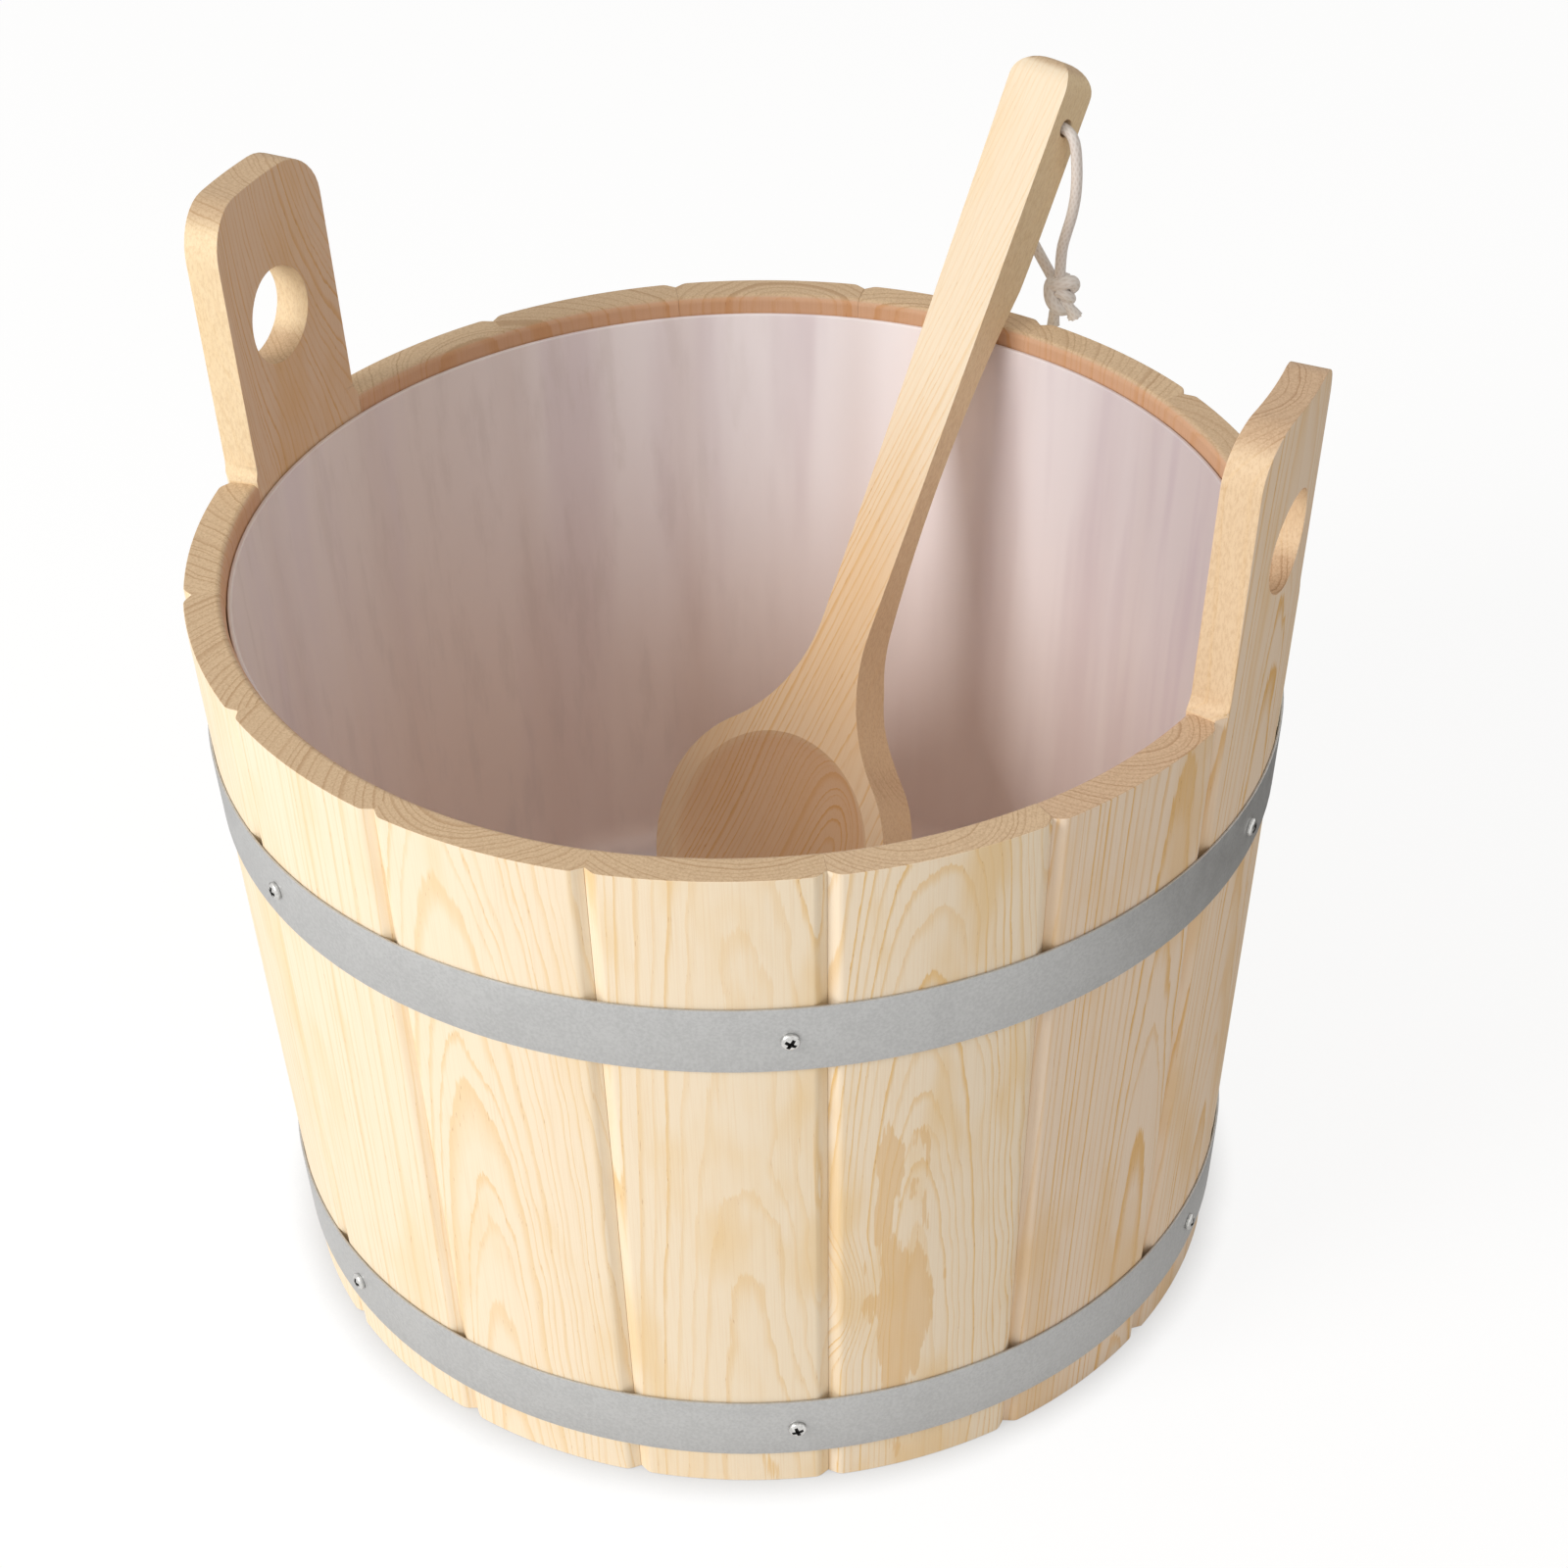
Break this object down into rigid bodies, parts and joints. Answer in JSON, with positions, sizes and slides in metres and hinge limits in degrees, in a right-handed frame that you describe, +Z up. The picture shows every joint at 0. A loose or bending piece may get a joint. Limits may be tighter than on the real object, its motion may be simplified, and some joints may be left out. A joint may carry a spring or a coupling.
{
  "type": "sauna bucket",
  "caption": "Coopered pine sauna bucket with pierced ear handles, steel strip hoops, a lift-out plastic insert that holds water, and a wooden ladle with a knotted hanging cord.",
  "frame": {"origin": "centre of the ring of stave feet that the bucket stands on", "axes": "+Z up along the bucket's axis, +X through the right ear, +Y towards the side that the ladle leans on"},
  "size_m": [0.3722, 0.3928, 0.36],
  "materials": {
    "stave_pine": "planed and sanded, unvarnished",
    "bottom_pine": "planed, unvarnished",
    "galvanised_steel": "matte zinc coated strip",
    "screw_steel": "bright zinc plated",
    "insert_plastic": "milky translucent",
    "ladle_pine": "sanded, unvarnished",
    "cotton_cord": "twisted cotton"
  },
  "bodies": {
    "bucket": {"ear_stave_right": "stave_pine", "ear_stave_left": "stave_pine", "stave_01": "stave_pine", "stave_02": "stave_pine", "stave_03": "stave_pine", "stave_04": "stave_pine", "stave_05": "stave_pine", "stave_06": "stave_pine", "stave_07": "stave_pine", "stave_08": "stave_pine", "stave_09": "stave_pine", "stave_10": "stave_pine", "stave_11": "stave_pine", "stave_12": "stave_pine", "stave_13": "stave_pine", "stave_14": "stave_pine", "bottom_plank_1": "bottom_pine", "bottom_plank_2": "bottom_pine", "bottom_plank_3": "bottom_pine", "bottom_plank_4": "bottom_pine", "bottom_plank_5": "bottom_pine", "upper_hoop": "galvanised_steel", "lower_hoop": "galvanised_steel", "upper_hoop_screws": "screw_steel", "lower_hoop_screws": "screw_steel"},
    "insert": {"insert": "insert_plastic"},
    "ladle": {"ladle": "ladle_pine", "cord_front_strand": "cotton_cord", "cord_back_strand": "cotton_cord", "cord_knot": "cotton_cord"}
  },
  "joints": [
    {"name": "insert_lift", "type": "slide", "parent": "bucket", "child": "insert", "axis": [0, 0, 1], "range_m": [0, 0.24]},
    {"name": "ladle_lift", "type": "slide", "parent": "insert", "child": "ladle", "axis": [0, 0, 1], "range_m": [0, 0.28]}
  ]
}
